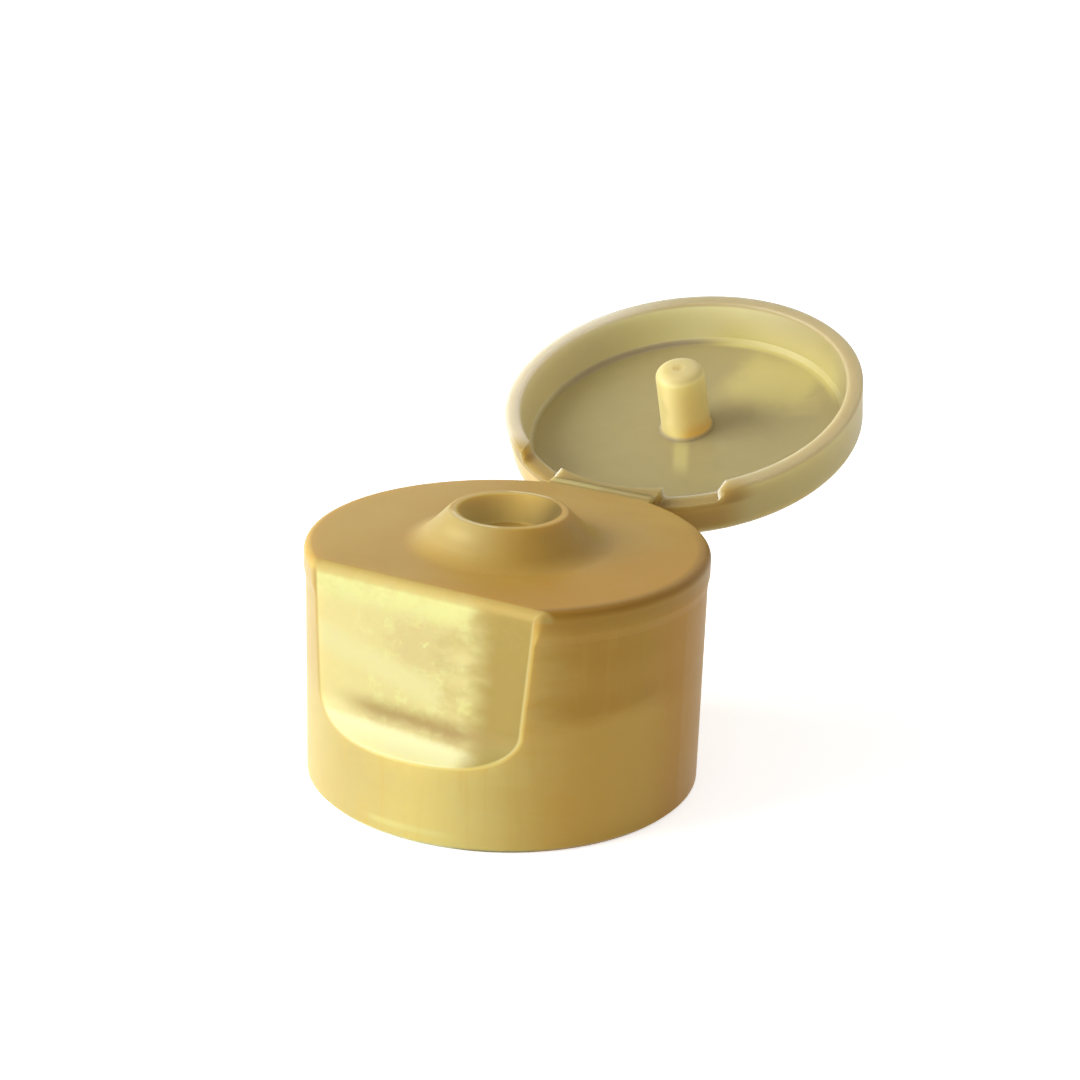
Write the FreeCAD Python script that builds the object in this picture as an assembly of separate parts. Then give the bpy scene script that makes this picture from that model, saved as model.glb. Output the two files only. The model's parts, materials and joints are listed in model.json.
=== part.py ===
import FreeCAD, Part
import math
import os

# Flip-top dispensing cap for a bottle with a 24 mm neck, moulded in one shot with its lid open.
# Millimetres. The origin is the centre of the open bottom rim, +Z runs up the cap's axis,
# the thumb recess is at -Y and the hinge at +Y. The lid is drawn shut and then swung open.

# Sleeve that screws onto the neck, and the plug that seals inside the neck
neck_bore_radius = 12.15
sleeve_wall = 1.1
sleeve_lead_in = 0.3
sleeve_draft = 0.1
seat_step = 0.75
seat_height = 2.7
seat_lead_in = 0.5
plug_gap = 2.95
plug_wall = 0.9
plug_length = 2.5
plug_lead_in = 0.3

# Drum round the sleeve
drum_height = 20.0
shell_gap = 1.9
shell_wall = 1.2
skirt_draft = 0.05
skirt_foot_bevel = 0.35
bead_step = 0.15
bead_height = 1.9
bead_edge_round = 0.65
bead_run_out = 0.8
deck_thickness = 1.3

# Orifice and nozzle in the middle of the deck
orifice_radius = 2.45
orifice_land = 0.9
orifice_bevel = 0.25
nozzle_height = 2.65
nozzle_dish_width = 1.75
nozzle_dish_depth = 1.7
nozzle_rim_width = 0.65
nozzle_rim_round = 0.25
nozzle_flare = 2.65
nozzle_foot_round = 2.6
core_step = 1.45
core_flare = 0.8
core_slope = 0.35

# Thumb recess in the front of the drum
recess_wall = 0.75
recess_lean = 0.6
recess_height = 13.1
recess_cove = 3.1
recess_pan_wall = 1.2
recess_edge_round = 0.3
recess_top_round = 0.8

# Lid, drawn shut
lid_gap = 0.1
lid_height = 4.85
lid_draft = 0.3
lid_edge_round = 1.2
lid_crown = 0.15
lid_plate = 0.8
lid_rim_wall = 1.45
lid_rim_draft = 0.4
lid_floor_bevel = 0.45
lid_rim_bevel = 0.15
notch_depth = 1.15
notch_width = 4.8
notch_round = 0.3

# Spigot on the lid that shuts the orifice
spigot_clearance = 0.2
spigot_length = 6.5
spigot_draft = 0.05
spigot_tip_round = 0.9
spigot_root_bevel = 0.3
dimple_radius = 0.6
dimple_depth = 0.25

# Living hinge between the two flats at the back
hinge_width = 10.0
hinge_leaf = 0.4
hinge_film = 0.35
hinge_flat_side = 0.075
hinge_flat_height = 4.5
hinge_flat_run_out = 1.5
hinge_pad_wall = 1.3
lid_open_angle = 160.0

# What follows from those sizes
seat_radius = neck_bore_radius - seat_step
plug_outer_radius = neck_bore_radius - plug_gap
sleeve_outer_radius = neck_bore_radius + sleeve_wall
shell_inner_radius = sleeve_outer_radius + shell_gap
skirt_top_radius = shell_inner_radius + shell_wall
skirt_foot_radius = skirt_top_radius - skirt_draft
bead_radius = skirt_top_radius + bead_step
deck_underside = drum_height - deck_thickness
nozzle_top = drum_height + nozzle_height
dish_floor = nozzle_top - nozzle_dish_depth
dish_radius = orifice_radius + nozzle_dish_width
nozzle_radius = dish_radius + nozzle_rim_width
land_foot = dish_floor - orifice_land
core_radius = orifice_radius + core_step
recess_back = neck_bore_radius + recess_wall
recess_floor = drum_height - recess_height
lid_rim = drum_height + lid_gap
lid_top = lid_rim + lid_height
lid_floor = lid_top - lid_plate
rim_inner_radius = bead_radius - lid_rim_wall
lid_floor_radius = rim_inner_radius - lid_rim_draft
spigot_radius = orifice_radius - spigot_clearance
spigot_tip = lid_floor - spigot_length
flat_y = math.sqrt(bead_radius**2 - (hinge_width / 2 + hinge_flat_side) ** 2)
hinge_y = flat_y + hinge_leaf
hinge_z = drum_height + lid_gap / 2
margin = 5.0
overlap = 0.2
tolerance = 0.0001


def outline(corners):
    """Closed face in the XZ plane from corners (x, z, rounding radius)."""
    points = [FreeCAD.Vector(x, 0, z) for x, z, _ in corners]
    count = len(corners)
    entries, exits, crowns = [], [], []
    for i, (x, z, radius) in enumerate(corners):
        corner = points[i]
        back = (points[i - 1] - corner).normalize()
        ahead = (points[(i + 1) % count] - corner).normalize()
        if radius <= 0:
            entries.append(corner)
            exits.append(corner)
            crowns.append(None)
            continue
        half = back.getAngle(ahead) / 2
        reach = radius / math.tan(half)
        inward = (back + ahead).normalize()
        entries.append(corner + back * reach)
        exits.append(corner + ahead * reach)
        crowns.append(corner + inward * (radius / math.sin(half) - radius))
    edges = []
    for i in range(count):
        if crowns[i]:
            edges.append(Part.Arc(entries[i], crowns[i], exits[i]).toShape())
        start, end = exits[i], entries[(i + 1) % count]
        if start.distanceToPoint(end) > tolerance:
            edges.append(Part.LineSegment(start, end).toShape())
    return Part.Face(Part.Wire(edges))


def turned(corners):
    """Solid of revolution about the cap's axis."""
    return outline(corners).revolve(FreeCAD.Vector(0, 0, 0), FreeCAD.Vector(0, 0, 1), 360)


def prism(corners, half_width):
    """Solid with a YZ section, corners (y, z, rounding radius), running across X."""
    face = outline(corners)
    face.rotate(FreeCAD.Vector(0, 0, 0), FreeCAD.Vector(0, 0, 1), 90)
    face.translate(FreeCAD.Vector(-half_width, 0, 0))
    return face.extrude(FreeCAD.Vector(2 * half_width, 0, 0))


def block(x0, x1, y0, y1, z0, z1):
    return Part.makeBox(x1 - x0, y1 - y0, z1 - z0, FreeCAD.Vector(x0, y0, z0))


def ring(inner, outer, z0, z1):
    start = FreeCAD.Vector(0, 0, z0)
    return Part.makeCylinder(outer, z1 - z0, start).cut(Part.makeCylinder(inner, z1 - z0, start))


def drum_section():
    """Section of the moulding: skirt, deck, nozzle, plug and threaded sleeve, from the outside in."""
    plug_inner = plug_outer_radius - plug_wall
    plug_foot = deck_underside - plug_length
    seat_foot = deck_underside - seat_height
    bead_foot = drum_height - bead_height
    return [
        (skirt_foot_radius - skirt_foot_bevel, 0, 0),
        (skirt_foot_radius, skirt_foot_bevel, 0),
        (skirt_top_radius, bead_foot - bead_run_out, 0),
        (bead_radius, bead_foot, 0),
        (bead_radius, drum_height, bead_edge_round),
        (nozzle_radius + nozzle_flare, drum_height, nozzle_foot_round),
        (nozzle_radius, nozzle_top, nozzle_rim_round),
        (dish_radius, nozzle_top, nozzle_rim_round),
        (orifice_radius + orifice_bevel, dish_floor, 0),
        (orifice_radius, dish_floor - orifice_bevel, 0),
        (orifice_radius, land_foot, 0),
        (core_radius, land_foot - core_slope, 0),
        (core_radius + core_flare, deck_underside, 0),
        (plug_inner, deck_underside, 0),
        (plug_inner, plug_foot, 0),
        (plug_outer_radius - plug_lead_in, plug_foot, 0),
        (plug_outer_radius, plug_foot + plug_lead_in, 0),
        (plug_outer_radius, deck_underside, 0),
        (seat_radius, deck_underside, 0),
        (seat_radius, seat_foot + seat_lead_in, 0),
        (neck_bore_radius, seat_foot, 0),
        (neck_bore_radius, sleeve_lead_in, 0),
        (neck_bore_radius + sleeve_lead_in, 0, 0),
        (sleeve_outer_radius - sleeve_draft, 0, 0),
        (sleeve_outer_radius, deck_underside, 0),
        (shell_inner_radius - sleeve_draft, deck_underside, 0),
        (shell_inner_radius, 0, 0),
    ]


def recess_section(grow):
    """Thumb recess: a flat back wall that runs out through a cove; grow moves it into the drum."""
    back_top = grow - recess_back
    back_foot = back_top - recess_lean
    floor = recess_floor - grow
    lip = recess_floor + recess_cove
    slope = (back_top - back_foot) / (drum_height - lip)
    return [
        (back_top + slope * margin, drum_height + margin, 0),
        (back_foot, floor, recess_cove + grow),
        (-(bead_radius + margin), floor, 0),
        (-(bead_radius + margin), drum_height + margin, 0),
    ]


def recess_pan():
    """The wall moulded behind the recess, which bridges the skirt and the sleeve."""
    half_width = math.sqrt(bead_radius**2 - recess_back**2) + recess_pan_wall
    pan = prism(recess_section(recess_pan_wall), half_width)
    return pan.common(ring(neck_bore_radius, skirt_foot_radius - overlap, 0, deck_underside + overlap))


def hinge_flat_section():
    """The rear flat, which runs out into the skirt at 45 degrees below."""
    foot = drum_height - hinge_flat_height
    return [
        (flat_y, drum_height + margin, 0),
        (flat_y, foot, 0),
        (flat_y + hinge_flat_run_out, foot - hinge_flat_run_out, 0),
        (bead_radius + margin, foot - hinge_flat_run_out, 0),
        (bead_radius + margin, drum_height + margin, 0),
    ]


def hinge_pad():
    """Thicker wall behind the rear flat, with a square edge on top for the film."""
    half = hinge_width / 2
    foot = drum_height - hinge_flat_height - hinge_pad_wall
    top = deck_underside + overlap
    wall = block(-half, half, flat_y - hinge_pad_wall, bead_radius, foot, top)
    wall = wall.common(ring(neck_bore_radius, skirt_foot_radius - overlap, foot, top))
    land = block(-half, half, flat_y - hinge_pad_wall, flat_y, deck_underside, drum_height)
    return wall.fuse(land)


def on_surface(solid, point):
    return solid.isInside(point, tolerance, True) and not solid.isInside(point, tolerance, False)


def edge_round(point):
    """Rounding of the recess's edges: narrow on the skirt and widening over the bead to the deck."""
    bead_foot = drum_height - bead_height
    rise = (point.z - bead_foot) / (bead_height - bead_edge_round)
    return recess_edge_round + (recess_top_round - recess_edge_round) * min(1, max(0, rise))


def rounded_recess(body, drum, recess):
    """Round the edges of the body where the recess breaks through the drum's surface."""
    document = FreeCAD.newDocument()
    base = document.addObject("Part::Feature", "base")
    base.Shape = body
    fillet = document.addObject("Part::Fillet", "fillet")
    fillet.Base = base
    rounds = []
    for number, edge in enumerate(body.Edges, 1):
        middle = edge.valueAt((edge.FirstParameter + edge.LastParameter) / 2)
        if on_surface(drum, middle) and on_surface(recess, middle):
            start, end = edge.valueAt(edge.FirstParameter), edge.valueAt(edge.LastParameter)
            rounds.append((number, edge_round(start), edge_round(end)))
    fillet.Edges = rounds
    document.recompute()
    return fillet.Shape.copy()


def cap_body():
    drum = turned(drum_section())
    recess = prism(recess_section(0), bead_radius)
    body = drum.fuse([recess_pan(), hinge_pad()]).cut(recess).removeSplitter()
    body = rounded_recess(body, drum, recess)
    return body.cut(prism(hinge_flat_section(), bead_radius)).removeSplitter()


def lid_section():
    """Section of the shut lid with its spigot."""
    return [
        (0, spigot_tip + dimple_depth, 0),
        (dimple_radius, spigot_tip, 0),
        (spigot_radius, spigot_tip, spigot_tip_round),
        (spigot_radius + spigot_draft, lid_floor - spigot_root_bevel, 0),
        (spigot_radius + spigot_draft + spigot_root_bevel, lid_floor, 0),
        (lid_floor_radius - lid_floor_bevel, lid_floor, 0),
        (lid_floor_radius, lid_floor - lid_floor_bevel, 0),
        (rim_inner_radius, lid_rim + lid_rim_bevel, 0),
        (rim_inner_radius + lid_rim_bevel, lid_rim, 0),
        (bead_radius - lid_rim_bevel, lid_rim, 0),
        (bead_radius, lid_rim + lid_rim_bevel, 0),
        (bead_radius - lid_draft, lid_top, lid_edge_round),
        (0, lid_top + lid_crown, 0),
    ]


def lid_notch(side):
    """Relief in the lid's rim beside the hinge."""
    near = hinge_width / 2
    far = near + notch_width
    corners = [
        (near, lid_rim - margin, 0),
        (near, lid_rim + notch_depth, notch_round),
        (far, lid_rim + notch_depth, notch_round),
        (far, lid_rim - margin, 0),
    ]
    notch = outline(corners).extrude(FreeCAD.Vector(0, bead_radius + margin, 0))
    if side < 0:
        notch = notch.mirror(FreeCAD.Vector(0, 0, 0), FreeCAD.Vector(1, 0, 0))
    return notch


def swing_open(shape):
    shape.rotate(FreeCAD.Vector(0, hinge_y, hinge_z), FreeCAD.Vector(1, 0, 0), -lid_open_angle)
    return shape


def flip_lid():
    lid = turned(lid_section())
    span = bead_radius + margin
    lid = lid.cut(block(-span, span, flat_y, span, lid_rim - margin, lid_top + margin))
    return swing_open(lid.cut([lid_notch(-1), lid_notch(1)]).removeSplitter())


def living_hinge():
    """The film as it was moulded, bent a little upwards at the pivot line."""
    turn = math.radians(lid_open_angle)

    def on_lid(y, z):
        dy, dz = y - hinge_y, z - hinge_z
        return (
            hinge_y + dy * math.cos(turn) + dz * math.sin(turn),
            hinge_z - dy * math.sin(turn) + dz * math.cos(turn),
        )

    lid_upper = on_lid(flat_y, lid_rim)
    lid_lower = on_lid(flat_y, lid_rim + hinge_film)
    bend = hinge_leaf / 2
    corners = [
        (flat_y, drum_height - hinge_film, 0),
        (hinge_y, drum_height - hinge_film, bend + hinge_film),
        (*lid_lower, 0),
        (*lid_upper, 0),
        (hinge_y, drum_height, bend),
        (flat_y, drum_height, 0),
    ]
    return prism(corners, hinge_width / 2)


os.makedirs("parts", exist_ok=True)
nodes = {"cap_body": cap_body, "living_hinge": living_hinge, "flip_lid": flip_lid}
for name, build in nodes.items():
    shape = build()
    shape.exportStep(f"parts/{name}.step")
    print(name, shape.ShapeType, len(shape.Solids), shape.isValid(), round(shape.Volume, 1))
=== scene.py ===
import json
import math
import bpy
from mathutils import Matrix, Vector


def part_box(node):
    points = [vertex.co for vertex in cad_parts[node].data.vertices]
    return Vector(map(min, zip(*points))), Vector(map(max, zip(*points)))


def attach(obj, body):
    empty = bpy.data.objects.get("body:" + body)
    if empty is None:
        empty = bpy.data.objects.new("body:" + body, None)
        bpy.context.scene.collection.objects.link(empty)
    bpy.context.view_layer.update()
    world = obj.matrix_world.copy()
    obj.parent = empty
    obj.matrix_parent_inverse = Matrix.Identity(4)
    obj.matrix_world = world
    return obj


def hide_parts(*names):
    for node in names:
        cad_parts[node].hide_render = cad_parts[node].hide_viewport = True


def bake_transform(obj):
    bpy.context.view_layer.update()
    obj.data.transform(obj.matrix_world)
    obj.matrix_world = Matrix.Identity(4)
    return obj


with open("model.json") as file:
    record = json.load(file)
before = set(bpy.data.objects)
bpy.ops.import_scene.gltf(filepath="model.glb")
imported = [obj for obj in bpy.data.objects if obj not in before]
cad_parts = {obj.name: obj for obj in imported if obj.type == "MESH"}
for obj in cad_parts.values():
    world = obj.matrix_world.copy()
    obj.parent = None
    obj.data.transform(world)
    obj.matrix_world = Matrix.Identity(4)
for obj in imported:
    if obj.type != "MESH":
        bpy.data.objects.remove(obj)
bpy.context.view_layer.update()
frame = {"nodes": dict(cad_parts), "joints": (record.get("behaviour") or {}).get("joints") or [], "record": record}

from types import SimpleNamespace

import bmesh
import bpy
from mathutils import Matrix, Vector


# Cap body: the drum of the cap, with its skirt, deck, nozzle, thumb recess and threaded sleeve.
# Polypropylene coloured with gold pearl pigment, still translucent where the wall is thin.
# One shot of an injection mould; its solid is the frame's own node and only gets a finish here.

class Value:
    """A socket of a finish, so that shader maths is written as plain arithmetic."""

    def __init__(self, finish, socket):
        self.finish = finish
        self.socket = socket

    def __add__(self, other):
        return self.finish.maths("ADD", self, other)

    def __radd__(self, other):
        return self.finish.maths("ADD", other, self)

    def __sub__(self, other):
        return self.finish.maths("SUBTRACT", self, other)

    def __rsub__(self, other):
        return self.finish.maths("SUBTRACT", other, self)

    def __mul__(self, other):
        return self.finish.maths("MULTIPLY", self, other)

    def __rmul__(self, other):
        return self.finish.maths("MULTIPLY", other, self)

    def __truediv__(self, other):
        return self.finish.maths("DIVIDE", self, other)

    def __rtruediv__(self, other):
        return self.finish.maths("DIVIDE", other, self)


class Finish:
    """The shader nodes of one material, or of the world."""

    def __init__(self, owner):
        owner.use_nodes = True
        self.owner = owner
        self.tree = owner.node_tree
        self.tree.nodes.clear()

    def node(self, kind, settings, inputs, output=0):
        made = self.tree.nodes.new(kind)
        for name, setting in settings.items():
            setattr(made, name, setting)
        for key, value in inputs.items():
            if isinstance(value, Value):
                self.tree.links.new(value.socket, made.inputs[key])
            else:
                made.inputs[key].default_value = value
        if made.outputs:
            return Value(self, made.outputs[output])

    def maths(self, operation, *terms):
        return self.node("ShaderNodeMath", {"operation": operation}, dict(enumerate(terms)))

    def split(self, vector):
        return [self.node("ShaderNodeSeparateXYZ", {}, {0: vector}, axis) for axis in "XYZ"]

    def place(self):
        """The point on the piece, as a vector in millimetres."""
        point = self.node("ShaderNodeTexCoord", {}, {}, "Object")
        inputs = {0: point, "Scale": millimetres}
        return self.node("ShaderNodeVectorMath", {"operation": "SCALE"}, inputs)

    def stretched(self, vector, factors):
        return self.node("ShaderNodeVectorMath", {"operation": "MULTIPLY"}, {0: vector, 1: factors})

    def cloud(self, vector, scale, detail=2.0, roughness=0.5, distortion=0.0):
        inputs = {
            "Vector": vector, "Scale": scale, "Detail": detail,
            "Roughness": roughness, "Distortion": distortion,
        }
        return self.node("ShaderNodeTexNoise", {}, inputs)

    def step(self, value, low, high):
        """0 below low, 1 above high and smooth between; falls instead where low is the larger."""
        return self.node(
            "ShaderNodeMapRange", {"interpolation_type": "SMOOTHSTEP"},
            {"Value": value, "From Min": low, "From Max": high},
        )

    def band(self, value, low, high, soft):
        """1 between low and high, with edges that are twice soft wide."""
        return self.step(value, low - soft, low + soft) * self.step(value, high + soft, high - soft)

    def blend(self, factor, first, second):
        return self.node("ShaderNodeMix", {"data_type": "RGBA"}, {0: factor, 6: first, 7: second}, 2)

    def layers(self, color, *coats):
        """The colour with each coat, a mask and its colour, laid over the one before."""
        for mask, coat in coats:
            color = self.blend(mask, color, coat)
        return color

    def plastic(self, color, roughness, normal, constants):
        inputs = {"Base Color": color, "Roughness": roughness, "Normal": normal, **constants}
        shader = self.node("ShaderNodeBsdfPrincipled", {}, inputs)
        self.node("ShaderNodeOutputMaterial", {}, {"Surface": shader})


millimetres = 1000
half_lid_gap = 0.05
hinge_joint = frame["joints"][0]
hinge_point = Vector(hinge_joint["pos_m"])
cap_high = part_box("cap_body")[1]
drum_radius = cap_high.x * millimetres
nozzle_top = cap_high.z * millimetres
deck_top = hinge_point.z * millimetres - half_lid_gap
nozzle_radius = 4.85
dish_radius = 4.2
orifice_radius = 2.45
recess_face = -12.9
recess_floor = deck_top - 13.1

pearl_roughness = 0.42
pearl_plastic = {
    "Metallic": 0.03,
    "IOR": 1.49,
    "Specular IOR Level": 0.2,
    "Subsurface Weight": 0.7,
    "Subsurface Radius": (1.0, 0.7, 0.3),
    "Subsurface Scale": 0.0025,
    "Coat Weight": 0.04,
    "Coat Roughness": 0.15,
}
# Pale yellow for painted highlights and glow on the cap.
lemon_highlight = (0.7, 0.69, 0.29, 1)


def pearl_grain(finish, vector):
    """Fine mica grain and the faint waviness of moulded plastic, as a bump."""
    waves = finish.cloud(vector, 0.35, 2.0)
    grain = finish.cloud(vector, 9.0, 3.0)
    inputs = {"Strength": 0.25, "Distance": 0.0002, "Height": waves * 0.8 + grain * 0.06}
    return finish.node("ShaderNodeBump", {}, inputs)


def cap_place(finish):
    """A point on the cap in millimetres, its turn from the recess in degrees, and its marbling."""
    vector = finish.place()
    x, y, z = finish.split(vector)
    azimuth = finish.maths("ARCTAN2", x, 0 - y) * math.degrees(1)
    return SimpleNamespace(
        vector=vector, x=x, y=y, z=z, azimuth=azimuth,
        radius=finish.maths("SQRT", x * x + y * y),
        # The azimuth jumps by a full turn at the back, where this carries on what the right side has.
        back=finish.step(azimuth, -115, -165),
        flow=finish.cloud(finish.stretched(vector, (0.3, 0.3, 1.0)), 0.5, 3.0, 0.55, 0.6) - 0.5,
        fleck=finish.cloud(finish.stretched(vector, (0.8, 0.8, 1.0)), 1.3, 4.0, 0.65, 0.5) - 0.5,
    )


def skirt_color(finish, at):
    """Painted light and shade: palest beside the recess on the left, towards the window light, and brown in shade
    on the right, where the sleeve behind the skirt shows through as darker bands.
    """
    pale = (0.5, 0.4, 0.14, 1)
    pale_high = (0.45, 0.33, 0.115, 1)
    honey = (0.68, 0.55, 0.18, 1)
    brown = (0.53, 0.3, 0.045, 1)
    dark_brown = (0.5, 0.28, 0.035, 1)
    foot_tan = (0.62, 0.385, 0.075, 1)
    far_shade_gold = (0.55, 0.26, 0.01, 1)
    bead_shade_brown = (0.42, 0.24, 0.03, 1)

    height = at.z + at.flow
    turn = at.azimuth + at.flow * 16
    # Painted light: pale on the left, which faces the window light, a little darker higher up.
    left_side = finish.blend(finish.step(height, 6, 13), pale, pale_high)
    # Painted shade on the right, away from the window light, with darker bands where the sleeve shows through, and
    # painted light lower down, where the single wall lets light in.
    sleeve_bands = finish.band(height, 14.9, 17.3, 1.0) + finish.band(height, 10.9, 13.0, 0.8)
    lower_glow = finish.step(at.z + at.flow * 2, 11.8, 9.8)
    right_side = finish.layers(brown, (sleeve_bands * 0.8, dark_brown), (lower_glow, foot_tan))
    drawn = finish.cloud(finish.stretched(at.vector, (1.0, 1.0, 0.1)), 0.9, 2.0) - 0.5
    drawn_marks = finish.step(drawn, 0.0, 0.25)
    # Painted shade on the far side and on the right of the bead.
    far_shade = finish.step(at.azimuth, 70, 90) + at.back
    bead_side = finish.step(at.azimuth, 32, 44) + at.back
    bead = finish.step(at.z, deck_top - 2.4, deck_top - 0.8) * bead_side
    # A painted highlight along the foot, and painted shade on its bottom edge.
    foot_highlight = finish.band(at.z, 1.0, 1.5, 0.2) * finish.band(turn, -12, 16, 5)
    foot_edge_shade = finish.step(at.z, 0.5, 0.1)
    # The honey coat is painted light, between the lit left and the shaded right.
    return finish.layers(
        left_side,
        (finish.step(turn, -25, 14), honey),
        (finish.step(turn, 16, 54) + at.back, right_side),
        (drawn_marks * 0.25, foot_tan),
        (far_shade * 0.8, far_shade_gold),
        (bead * 0.8, bead_shade_brown),
        (foot_highlight * 0.4, lemon_highlight),
        (foot_edge_shade * 0.6, dark_brown),
    )


def recess_color(finish, at):
    """Painted light and shade on the wall: painted highlights and glow in pale yellow, painted shade over the
    sleeve and along its right side, and a painted dark band above the cove's painted highlight.
    """
    straw = (0.66, 0.58, 0.25, 1)
    shaded_straw = (0.6, 0.49, 0.215, 1)
    olive = (0.4, 0.29, 0.075, 1)
    cream = (0.8, 0.76, 0.42, 1)
    left_lemon = (0.69, 0.6, 0.26, 1)
    slant_lemon = (0.69, 0.63, 0.3, 1)
    under_shade_brown = (0.37, 0.25, 0.08, 1)
    cove_shade_olive = (0.36, 0.28, 0.07, 1)

    x, fleck = at.x, at.fleck
    up = at.z - recess_floor
    tilted = up + x * 0.03
    # Painted highlights and glow: mottled over the wall, near the deck's edge, on the left and in a slanting band.
    mottle = finish.cloud(at.vector, 0.8, 3.0, 0.6) - 0.5
    streaks = finish.cloud(finish.stretched(at.vector, (0.6, 0.6, 1.3)), 0.6, 2.0, 0.45, 0.2) - 0.5
    corner = finish.step(x, 2.5, 6.5) * 1.6
    top_glow = finish.step(up - corner + fleck, 9.8, 11.5) * finish.step(x + fleck * 0.6, 6.2, 4.6)
    slant = up + x * 0.26 + fleck
    slant_glow = finish.band(slant, 3.9, 5.9, 0.8) * finish.step(x + fleck * 3, 3.0, 0.8)
    left_glow = finish.step(x + fleck, -3.5, -7.5)
    # Painted shade over the sleeve: an oval core with painted bright flecks, and olive patches of shade.
    core_x, core_up = x + 0.3, up - 8.3
    core = finish.maths("SQRT", core_x * core_x / 7.0 + core_up * core_up / 5.0)
    core_shade = finish.step(core + fleck * 2.2, 1.4, 0.5)
    core_flecks = finish.step(fleck, 0.1, 0.17) * core_shade
    patches = finish.step(streaks * 2 + fleck * 0.5 + x * 0.05, -0.3, 0.7) * finish.step(x, 0.0, 3.5)
    # Painted shade along the right side of the wall.
    right_side = finish.step(x + streaks * 1.5, 3.6, 6.8)
    # A painted dark band above the cove's painted cream highlight, and painted shade at the cove's right end.
    under_shade = finish.band(tilted + fleck * 0.6, 1.5, 2.7, 0.8) * finish.band(x, -6.0, 6.0, 2.5)
    ledge_highlight = finish.step(tilted + fleck * 0.2, 1.4, 0.8) * finish.step(x + fleck, 7.4, 3.6)
    far_cove_shade = finish.step(up + fleck * 0.5, 2.3, 1.3) * finish.step(x, 4.0, 8.0)
    # A painted highlight along the fillet at the recess's right edge.
    edge_highlight = finish.step(at.radius, drum_radius - 0.42, drum_radius - 0.3) * finish.step(x, 5, 8)
    color = finish.layers(
        straw,
        (finish.step(mottle, 0.0, 0.12) * 0.6, lemon_highlight),
        (left_glow, left_lemon),
        (core_shade * 0.75, shaded_straw),
        (core_flecks, lemon_highlight),
        (patches * 0.5, olive),
        (slant_glow, slant_lemon),
        (top_glow, lemon_highlight),
        (right_side, olive),
        (under_shade * 0.95, under_shade_brown),
        (ledge_highlight, cream),
        (far_cove_shade, cove_shade_olive),
        (edge_highlight * 0.7, straw),
    )
    dullness = under_shade + far_cove_shade + ledge_highlight * 0.8
    return color, dullness


def deck_color(finish, at):
    """Deck and nozzle, with painted light and shade: browner in shade to the right, paler to the left towards the
    window light, and painted highlights on the nozzle's flank and rim.
    """
    deck = (0.5, 0.325, 0.065, 1)
    deck_brown = (0.46, 0.25, 0.035, 1)
    shaded_right_brown = (0.46, 0.235, 0.018, 1)
    left_gold = (0.54, 0.35, 0.075, 1)
    edge_shade_brown = (0.3, 0.155, 0.01, 1)
    nozzle_olive = (0.45, 0.355, 0.125, 1)
    shine_gold = (0.74, 0.58, 0.25, 1)
    lit_dish = (0.58, 0.4, 0.105, 1)
    shaded_dish_brown = (0.16, 0.105, 0.024, 1)
    rim_gold = (0.66, 0.52, 0.25, 1)

    x, y, z, radius = at.x, at.y, at.z, at.radius
    # Painted shade to the right and painted light to the left, and painted shade on the deck's right edge, which
    # turns away from the light.
    rightward_shade = finish.step(x - y * 0.5, 3, 14)
    leftward_light = finish.step(x, -6, -13)
    right_edge_shade = finish.step(radius, drum_radius - 1.3, drum_radius - 0.6)
    right_edge_shade = right_edge_shade * finish.step(x - y * 0.3, 6, 13)
    # Painted light: paler olive on the nozzle's lit left flank, and a painted highlight on its front.
    beyond_rim = radius - nozzle_radius
    nozzle = finish.step(beyond_rim, 3.65, 0.65) * finish.step(x + y * 0.4, 3, -3)
    flank_highlight = finish.band(beyond_rim, 0.55, 1.15, 0.35) * finish.band(at.azimuth, -30, 0, 12)
    # The dish is painted lit on the left and shaded on the right; the rim has painted crescent highlights and is
    # painted back to the deck's colour elsewhere, as painted shade.
    rim_start = dish_radius + 0.2
    dish = finish.step(radius, rim_start, dish_radius) * finish.step(z, deck_top + 0.5, deck_top + 1.0)
    dish_gold = finish.blend(finish.step(x - y * 0.3, -2.5, 2.5), lit_dish, shaded_dish_brown)
    highlight_crescents = finish.step(0 - y - x * 0.3, 3.5, 4.2) + finish.step(y - x * 0.1, 4.0, 4.4)
    rim_light = finish.band(radius, rim_start, nozzle_radius - 0.1, 0.12)
    rim_light = rim_light * finish.step(z, nozzle_top - 0.2, nozzle_top - 0.05)
    rim_shade = finish.band(radius, rim_start, nozzle_radius, 0.15)
    rim_shade = rim_shade * finish.step(z, nozzle_top - 0.35, nozzle_top - 0.15)
    color = finish.layers(
        deck,
        (at.flow * 0.8 + 0.35, deck_brown),
        (rightward_shade * 0.8, shaded_right_brown),
        (nozzle * 0.8, nozzle_olive),
        (leftward_light * 0.8, left_gold),
        (right_edge_shade * 0.9, edge_shade_brown),
        (flank_highlight * 0.25, shine_gold),
        (dish, dish_gold),
        (rim_light * highlight_crescents, rim_gold),
        (rim_shade * (1 - highlight_crescents) * 0.5, deck),
    )
    return color, dish


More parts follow.
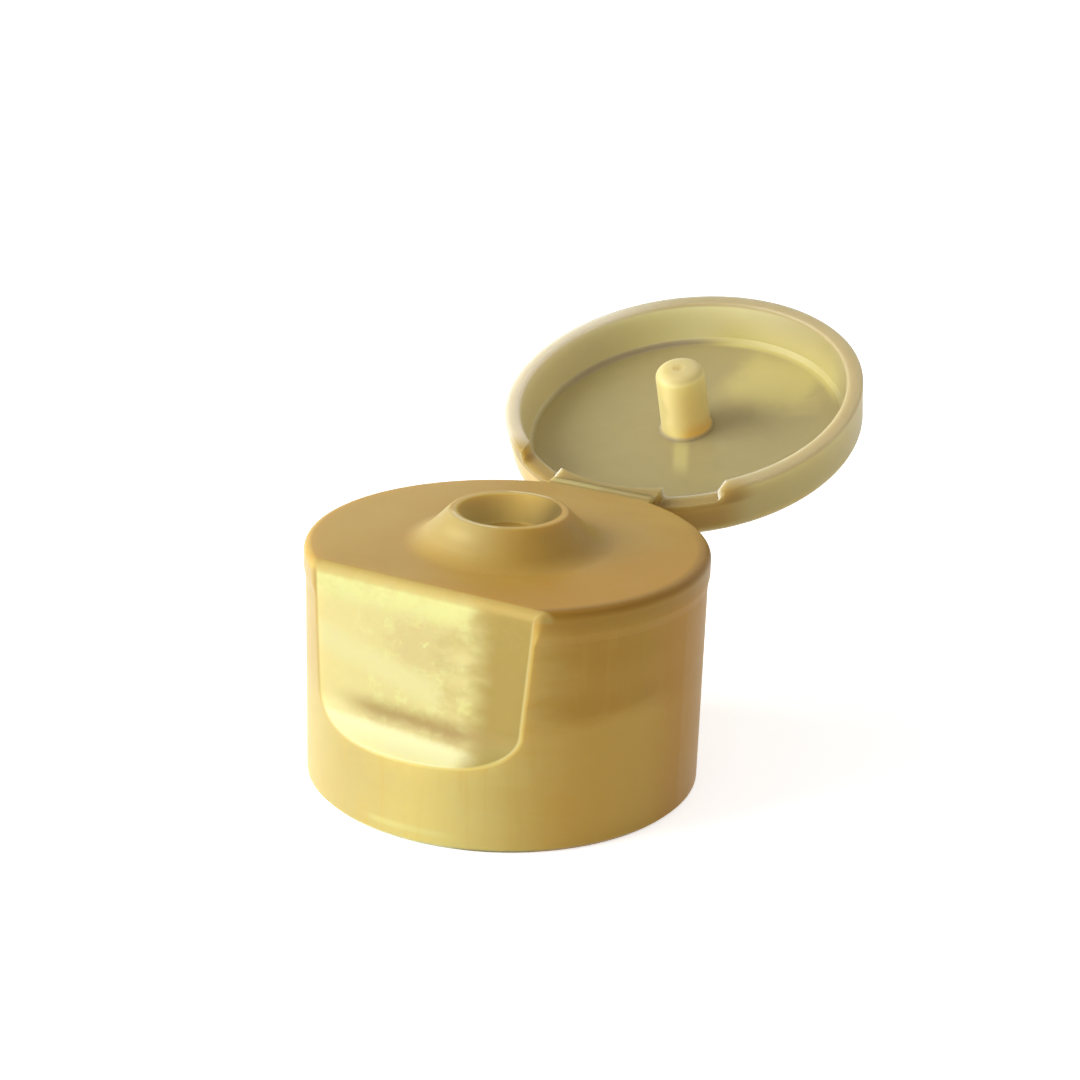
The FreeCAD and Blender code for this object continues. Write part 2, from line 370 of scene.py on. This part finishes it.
def cap_finish():
    brow_brown = (0.5, 0.37, 0.11, 1)
    lit_orifice = (0.2, 0.125, 0.03, 1)
    dark = (0, 0, 0, 1)

    finish = Finish(bpy.data.materials.new("pearl_gold_cap"))
    at = cap_place(finish)
    skirt = skirt_color(finish, at)
    deck, dish = deck_color(finish, at)
    wall, dullness = recess_color(finish, at)
    on_top = finish.step(at.z, deck_top - 0.8, deck_top - 0.2)
    recess = finish.step(at.radius, drum_radius - 0.2, drum_radius - 0.35)
    recess = recess * finish.step(at.y + at.fleck * 0.7, recess_face + 0.8, recess_face - 0.2)
    # Painted shade along the deck's front edge above the recess, to hold down its highlight.
    brow_shade = finish.band(at.y, recess_face - 0.05, recess_face + 0.7, 0.2)
    brow_shade = brow_shade * finish.step(at.z, deck_top - 1.0, deck_top - 0.6)
    color = finish.layers(skirt, (on_top, deck), (recess, wall), (brow_shade * 0.8, brow_brown))
    rough = pearl_roughness + 0.1 * at.flow - 0.06 * recess
    rough = rough + 0.3 * dullness * recess + 0.3 * brow_shade + 0.4 * dish
    # A painted glow: the orifice gives off a faint light of its own, standing in for light that comes through the
    # plastic.
    orifice = finish.step(at.radius, orifice_radius + 0.55, orifice_radius + 0.15)
    orifice = orifice * finish.band(at.z, deck_top - 1.5, deck_top + 0.6, 0.4)
    glow = finish.blend(orifice, dark, lit_orifice)
    glowing = {**pearl_plastic, "Emission Color": glow, "Emission Strength": 1.0}
    finish.plastic(color, rough, pearl_grain(finish, at.vector), glowing)
    return finish.owner


cap_body = frame["nodes"]["cap_body"]
cap_body.data.materials.clear()
cap_body.data.materials.append(cap_finish())


# Thread ridge: one and a half turns inside the sleeve that grip the thread of the bottle's neck.
# The same plastic and the same shot as the cap; the mould core is unscrewed from it.
# It starts and ends in a taper, and its root is let into the sleeve's wall.

def finished_piece(mesh, name):
    """A new object from a closed bmesh: faces turned outwards, smooth save for many-sided ends."""
    bmesh.ops.recalc_face_normals(mesh, faces=mesh.faces)
    for face in mesh.faces:
        face.smooth = len(face.verts) == 4
    data = bpy.data.meshes.new(name)
    mesh.to_mesh(data)
    mesh.free()
    piece = bpy.data.objects.new(name, data)
    bpy.context.collection.objects.link(piece)
    return piece


def thread_ridge():
    neck_bore = next(mount for mount in frame["record"]["mounts"] if mount["name"] == "neck_bore")
    bore_radius = neck_bore["dims"]["r_mm"] / millimetres
    let_in, stands_out = 0.00005, 0.00088
    root_radius, crest_radius = bore_radius + let_in, bore_radius - stands_out
    root_half, crest_half = 0.00085, 0.0003
    pitch, turns, foot = 0.003175, 1.5, 0.0093
    taper = math.radians(35)
    steps, flank = 270, 5
    whole_turn = 2 * math.pi
    mesh = bmesh.new()
    rings = []
    for i in range(steps + 1):
        turn = whole_turn * turns * i / steps
        rise = foot + pitch * turn / whole_turn
        near_end = min(turn, whole_turn * turns - turn) / taper
        fade = math.sin(min(1, near_end) * math.pi / 2)
        ring = []
        for j in range(2 * flank + 1):
            across = j / flank - 1
            height = 0.5 + 0.5 * math.cos(across * math.pi)
            half = crest_half + (root_half - crest_half) * (1 - height) ** 0.5
            side = math.copysign(half, across) if across else 0
            radius = root_radius + (crest_radius - root_radius) * height ** 0.8 * fade
            point = (radius * math.cos(turn), radius * math.sin(turn), rise + side)
            ring.append(mesh.verts.new(point))
        rings.append(ring)
    for first, second in zip(rings, rings[1:]):
        for j in range(2 * flank):
            mesh.faces.new((first[j], second[j], second[j + 1], first[j + 1]))
        mesh.faces.new((first[-1], second[-1], second[0], first[0]))
    mesh.faces.new(rings[0])
    mesh.faces.new(rings[-1][::-1])
    return finished_piece(mesh, "thread_ridge")


thread = thread_ridge()
thread.data.materials.append(cap_body.data.materials[0])
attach(thread, "cap")


# Flip lid: the shallow round lid with its spigot, moulded open beside the drum.
# The same pearl plastic in a thinner wall, so more light comes through; its paler, greener look is partly painted
# light.
# The frame's own node; it turns on the hinge film.

shut_angle = math.radians(hinge_joint["range_deg"][1])
lid_floor = deck_top + 4.15
lid_floor_radius = drum_radius - 1.85
spigot_radius = 2.25
# Colours for a painted glow and for painted shade on the lid.
lid_glow_lemon = (0.59, 0.52, 0.21, 1)
lid_shade_mauve = (0.34, 0.29, 0.2, 1)

thin_plastic = {
    **pearl_plastic,
    "Metallic": 0.0,
    "Subsurface Weight": 0.95,
    "Subsurface Radius": (1.0, 0.9, 0.7),
    "Subsurface Scale": 0.005,
}


def lid_place(finish):
    """A point on the lid as it lies when shut: millimetres from the cap's axis and the lid's floor."""
    vector = finish.place()
    shut = finish.node(
        "ShaderNodeVectorRotate", {"rotation_type": "X_AXIS"},
        {"Vector": vector, "Center": hinge_point * millimetres, "Angle": shut_angle},
    )
    across, along, height = finish.split(shut)
    radius = finish.maths("SQRT", across * across + along * along)
    return SimpleNamespace(
        vector=vector, across=across, along=along, radius=radius,
        above_floor=height - lid_floor,
        beyond_floor=radius - lid_floor_radius,
        turn=finish.maths("ARCTAN2", across, 0 - along) * math.degrees(1),
        flow=finish.cloud(vector, 0.3, 3.0, 0.55, 0.6) - 0.5,
    )


def lid_inside_color(finish, at):
    """Painted light and shade inside the lid: a green gold floor with a painted sheen away from the hinge and a
    painted reflection of the spigot, walls painted paler on the left and back, where light comes through, and
    darker on the right, and a painted dark line and a painted glow at their foot.
    """
    green_gold = (0.34, 0.29, 0.135, 1)
    grey_gold = (0.31, 0.262, 0.13, 1)
    sheen_gold = (0.5, 0.425, 0.165, 1)
    mirror_gold = (0.5, 0.44, 0.19, 1)
    lit_left_wall = (0.54, 0.5, 0.35, 1)
    lit_back_wall = (0.7, 0.64, 0.38, 1)
    shaded_right_wall = (0.35, 0.3, 0.145, 1)

    across, along, flow, turn = at.across, at.along, at.flow, at.turn
    # A painted sheen on the floor away from the hinge, and a painted reflection of the spigot.
    sheen = finish.band(across + flow * 3, 0.8, 9.5, 1.8)
    sheen = sheen * finish.band(along + flow * 2, -13.0, -5.5, 2.2)
    spigot_mirrored = finish.band(across - along * 0.44, -1.1, 0.3, 0.4)
    spigot_mirrored = spigot_mirrored * finish.band(along, 2.0, 6.5, 1.5)
    floor_color = finish.layers(
        green_gold,
        (flow * 1.2 + 0.5, grey_gold),
        (sheen * 0.8, sheen_gold),
        (spigot_mirrored * 0.7, mirror_gold),
    )
    # Walls painted paler on the left and back, where light comes through, and darker on the right.
    wall_color = finish.layers(
        lit_left_wall,
        (finish.step(turn, -10, 45), shaded_right_wall),
        (finish.band(turn, -48, 2, 22), lit_back_wall),
    )
    wall = finish.step(at.beyond_floor, -0.45, 0.05)
    # A painted dark line at the foot of the left wall, and a painted glow at the foot of the far wall.
    shade_line = finish.band(at.beyond_floor, -0.7, -0.15, 0.2) * finish.band(turn, -80, -20, 14)
    glow = finish.band(at.beyond_floor, -0.85, 0.2, 0.35) * finish.band(turn, -14, 52, 10)
    return finish.layers(
        floor_color, (wall, wall_color), (shade_line, lid_shade_mauve), (glow * 0.85, lid_glow_lemon)
    )


def spigot_color(finish, at):
    """Painted light and shade: yellow on the left, tan on the right, a painted darker top on the tip, and painted
    orange light near the root, where light gathers.
    """
    yellow = (0.62, 0.53, 0.225, 1)
    tan = (0.86, 0.71, 0.33, 1)
    tip_gold = (0.62, 0.51, 0.22, 1)
    orange = (0.8, 0.56, 0.2, 1)

    # Painted shade on the tip's top and painted orange light at the root.
    tip = finish.step(at.above_floor, -5.85, -6.25)
    root = finish.step(at.above_floor, -2.15, -0.15) * finish.step(at.across, 0.0, 1.5)
    right_side = finish.step(at.across + at.flow, -1.4, -0.1)
    return finish.layers(yellow, (right_side, tan), (tip, tip_gold), (root, orange))


def lid_finish():
    outer_wall = (0.52, 0.46, 0.23, 1)
    outer_top = (0.56, 0.46, 0.19, 1)
    hinge_left = (0.6, 0.44, 0.17, 1)
    hinge_right = (0.44, 0.32, 0.1, 1)
    hinge_recess_shade = (0.34, 0.24, 0.075, 1)
    rim_left = (0.56, 0.49, 0.36, 1)
    rim_cream = (0.42, 0.34, 0.18, 1)

    finish = Finish(bpy.data.materials.new("pearl_gold_lid"))
    at = lid_place(finish)
    above, beyond = at.above_floor, at.beyond_floor
    beyond_spigot = at.radius - spigot_radius
    spigot = finish.step(beyond_spigot, 0.65, 0.25) * finish.step(above, -0.05, -0.35)
    # Painted shade on the ring at the spigot's foot, in place of a bright line there.
    foot_ring_shade = finish.band(beyond_spigot, 0.05, 0.5, 0.08) * finish.step(above, -0.45, -0.25)
    shell = finish.step(beyond, 0.85, 1.15) + finish.step(above, 0.15, 0.35)
    shell_color = finish.blend(finish.step(above + at.flow * 2, -0.75, 0.65), outer_wall, outer_top)
    # Painted light and shade by the hinge: lighter on the left, darker on the right.
    hinge_side = finish.step(at.along, 11.0, 13.5) * finish.step(above, 0.45, -0.55)
    hinge_color = finish.blend(finish.step(at.across, -4, 3), hinge_left, hinge_right)
    # Painted light on the rim: pale on the left, where light comes through, and cream elsewhere.
    rim = finish.step(above, -3.55, -3.9) * finish.step(beyond, -1.65, -0.65)
    rim_color = finish.blend(finish.step(at.turn, -60, -20), rim_left, rim_cream)
    # Painted shade in the relief by the hinge.
    relief = finish.step(at.along, 10.5, 13.0) * finish.step(beyond, -0.65, 0.35)
    relief = relief * finish.step(above, -2.15, -2.65)
    color = finish.layers(
        lid_inside_color(finish, at),
        (spigot, spigot_color(finish, at)),
        (foot_ring_shade * 0.35, lid_shade_mauve),
        (shell, shell_color),
        (hinge_side, hinge_color),
        (rim, rim_color),
        (relief, hinge_recess_shade),
    )
    rough = pearl_roughness + 0.1 * at.flow + 0.4 * foot_ring_shade * finish.step(above, 0.35, 0.15)
    finish.plastic(color, rough, pearl_grain(finish, at.vector), thin_plastic)
    return finish.owner


flip_lid = frame["nodes"]["flip_lid"]
flip_lid.data.materials.clear()
flip_lid.data.materials.append(lid_finish())


# Living hinge: the film that joins the cap's flat to the lid's and bends when the lid is shut.
# The same plastic, thinned to a third of a millimetre and paler where it has been bent.
# Moulded with both parts; one edge meets the cap and the other the lid.

def hinge_film():
    """The film and its two ends; its section is worked out in the plane of y and z."""
    box_low, box_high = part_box("living_hinge")
    thickness, thinned = 0.00035, 0.00022
    leaf, sag = 0.0004, 0.00008
    gap = half_lid_gap / millimetres
    lengthwise, crosswise = 14, 24
    lid_turn = Matrix.Rotation(-shut_angle, 2)
    pivot = Vector((box_low.y + leaf, hinge_point.z))
    start = pivot + Vector((-leaf, -gap))
    end = pivot + lid_turn @ Vector((-leaf, gap))
    middle = (start + end) / 2 - Vector((0, sag))
    cap_down, lid_down = Vector((0, -1)), lid_turn @ Vector((0, 1))
    mesh = bmesh.new()
    rows = []
    for i in range(lengthwise + 1):
        t = i / lengthwise
        top = (1 - t) ** 2 * start + 2 * t * (1 - t) * middle + t * t * end
        way = (cap_down * (1 - t) + lid_down * t).normalized()
        depth = thickness - (thickness - thinned) * math.sin(t * math.pi) ** 2
        for point in (top, top + way * depth):
            across = [box_high.x * (2 * j / crosswise - 1) for j in range(crosswise + 1)]
            rows.append([mesh.verts.new((x, point.x, point.y)) for x in across])
    uppers, lowers = rows[::2], rows[1::2]
    for i in range(lengthwise):
        upper, lower, upper_next, lower_next = uppers[i], lowers[i], uppers[i + 1], lowers[i + 1]
        for j in range(crosswise):
            mesh.faces.new((upper[j], upper[j + 1], upper_next[j + 1], upper_next[j]))
            mesh.faces.new((lower[j + 1], lower[j], lower_next[j], lower_next[j + 1]))
        mesh.faces.new((upper[0], upper_next[0], lower_next[0], lower[0]))
        mesh.faces.new((upper[-1], lower[-1], lower_next[-1], upper_next[-1]))
    for upper, lower in ((uppers[0], lowers[0]), (uppers[-1], lowers[-1])):
        for j in range(crosswise):
            mesh.faces.new((upper[j], lower[j], lower[j + 1], upper[j + 1]))
    return finished_piece(mesh, "hinge_film"), start, end


def film_finish():
    right_gold = (0.43, 0.29, 0.08, 1)
    left_gold = (0.56, 0.4, 0.12, 1)
    bent_pale = (0.5, 0.42, 0.22, 1)
    fold_line = hinge_point.y * millimetres

    finish = Finish(bpy.data.materials.new("pearl_gold_film"))
    vector = finish.place()
    x, y, z = finish.split(vector)
    flow = finish.cloud(finish.stretched(vector, (0.5, 2.0, 2.0)), 1.0, 3.0) - 0.5
    left_side = finish.step(x + flow * 3, 1.5, -2.5)
    fold = finish.band(y, fold_line - 0.1, fold_line + 0.15, 0.1)
    color = finish.layers(right_gold, (left_side, left_gold), (fold * 0.3, bent_pale))
    creases = finish.cloud(finish.stretched(vector, (0.6, 6.0, 6.0)), 1.2, 2.0)
    inputs = {"Strength": 0.3, "Distance": 0.0001, "Height": creases}
    bump = finish.node("ShaderNodeBump", {}, inputs)
    finish.plastic(color, pearl_roughness + flow * 0.15, bump, pearl_plastic)
    return finish.owner


film, film_start, film_end = hinge_film()
film.data.materials.append(film_finish())
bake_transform(film)
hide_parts("living_hinge")


# Studio: a plain white table and background, with soft window light from the front left.
# Rays that show the background see both as white; the table keeps a soft shadow of the cap.

pure_white = (1, 1, 1, 1)


def background_rays(finish):
    """1 for the rays that show the background: straight to the camera, mirrored or let through."""
    kinds = ("Is Camera Ray", "Is Glossy Ray", "Is Transmission Ray")
    camera, glossy, through = [finish.node("ShaderNodeLightPath", {}, {}, kind) for kind in kinds]
    return finish.maths("MINIMUM", camera + glossy + through, 1.0)


def table_finish():
    """White paper, lifted to pure white for background rays, so that only the shadow stays grey."""
    paper_white = (0.86, 0.86, 0.86, 1)
    lift_strength = 0.65
    finish = Finish(bpy.data.materials.new("white_table"))
    lit = finish.node("ShaderNodeBsdfDiffuse", {}, {"Color": paper_white})
    lift = finish.node("ShaderNodeEmission", {}, {"Color": pure_white, "Strength": lift_strength})
    white = finish.node("ShaderNodeAddShader", {}, {0: lit, 1: lift})
    seen = background_rays(finish)
    mixed = finish.node("ShaderNodeMixShader", {}, {0: seen, 1: lit, 2: white})
    finish.node("ShaderNodeOutputMaterial", {}, {"Surface": mixed})
    return finish.owner


def studio_world():
    ambient = 0.45
    finish = Finish(bpy.data.worlds.new("studio"))
    level = ambient + (1 - ambient) * background_rays(finish)
    sky = finish.node("ShaderNodeBackground", {}, {"Color": pure_white, "Strength": level})
    finish.node("ShaderNodeOutputWorld", {}, {"Surface": sky})
    return finish.owner


def white_table():
    reach = 4.0
    corners = [(x * reach, y * reach, 0) for x, y in ((-1, -1), (1, -1), (1, 1), (-1, 1))]
    mesh = bpy.data.meshes.new("floor")
    mesh.from_pydata(corners, [], [(0, 1, 2, 3)])
    mesh.materials.append(table_finish())
    floor = bpy.data.objects.new("floor", mesh)
    bpy.context.collection.objects.link(floor)
    return floor


def around(target, distance, azimuth, elevation):
    """A point round the target: azimuth 0 stands in front of the recess, 90 to its right."""
    turn, lift = math.radians(azimuth), math.radians(elevation)
    way = Vector((math.sin(turn) * math.cos(lift), -math.cos(turn) * math.cos(lift), math.sin(lift)))
    return target + distance * way


def window_light():
    azimuth, elevation, distance = -50, 22, 0.7
    width, power = 0.55, 6.75
    middle = Vector((0, 0.015, 0.015))
    light = bpy.data.lights.new("window", "AREA")
    light.shape = "RECTANGLE"
    light.size = width
    light.size_y = width
    light.energy = power
    holder = bpy.data.objects.new("window", light)
    holder.location = around(middle, distance, azimuth, elevation)
    holder.rotation_euler = (middle - holder.location).to_track_quat("-Z", "Y").to_euler()
    bpy.context.collection.objects.link(holder)


floor = white_table()
bpy.context.scene.world = studio_world()
window_light()


# Camera: a long lens a hand's breadth above the cap, to the right of the recess.
# Its distance, height, turn and tilt were worked out from the outlines of the drum and the lid.

image_size = 1080
sensor = 36
focal_pixels = 2229.7
deck_pixel = Vector((508.13, 540.24))
camera_distance = 0.18094
camera_azimuth = 29.94
camera_elevation = 19.47
camera_roll = math.radians(1.52)

deck_centre = Vector((0, 0, deck_top / millimetres))
eye = around(deck_centre, camera_distance, camera_azimuth, camera_elevation)
forward = (deck_centre - eye).normalized()
sideways = math.radians(camera_azimuth)
level_right = Vector((math.cos(sideways), math.sin(sideways), 0))
level_up = level_right.cross(forward)
right = math.cos(camera_roll) * level_right + math.sin(camera_roll) * level_up
up = math.cos(camera_roll) * level_up - math.sin(camera_roll) * level_right
off_axis = (deck_pixel - Vector((image_size / 2, image_size / 2))) / focal_pixels
forward = (forward - off_axis.x * right + off_axis.y * up).normalized()
right = (right - forward * right.dot(forward)).normalized()
up = right.cross(forward)

lens = bpy.data.cameras.new("camera")
lens.sensor_width = sensor
lens.lens = focal_pixels / image_size * sensor
lens.clip_start = 0.01
camera = bpy.data.objects.new("camera", lens)
camera.matrix_world = Matrix.Translation(eye) @ Matrix((right, up, -forward)).transposed().to_4x4()
bpy.context.collection.objects.link(camera)
bpy.context.scene.camera = camera
bpy.context.scene.view_settings.view_transform = "Standard"
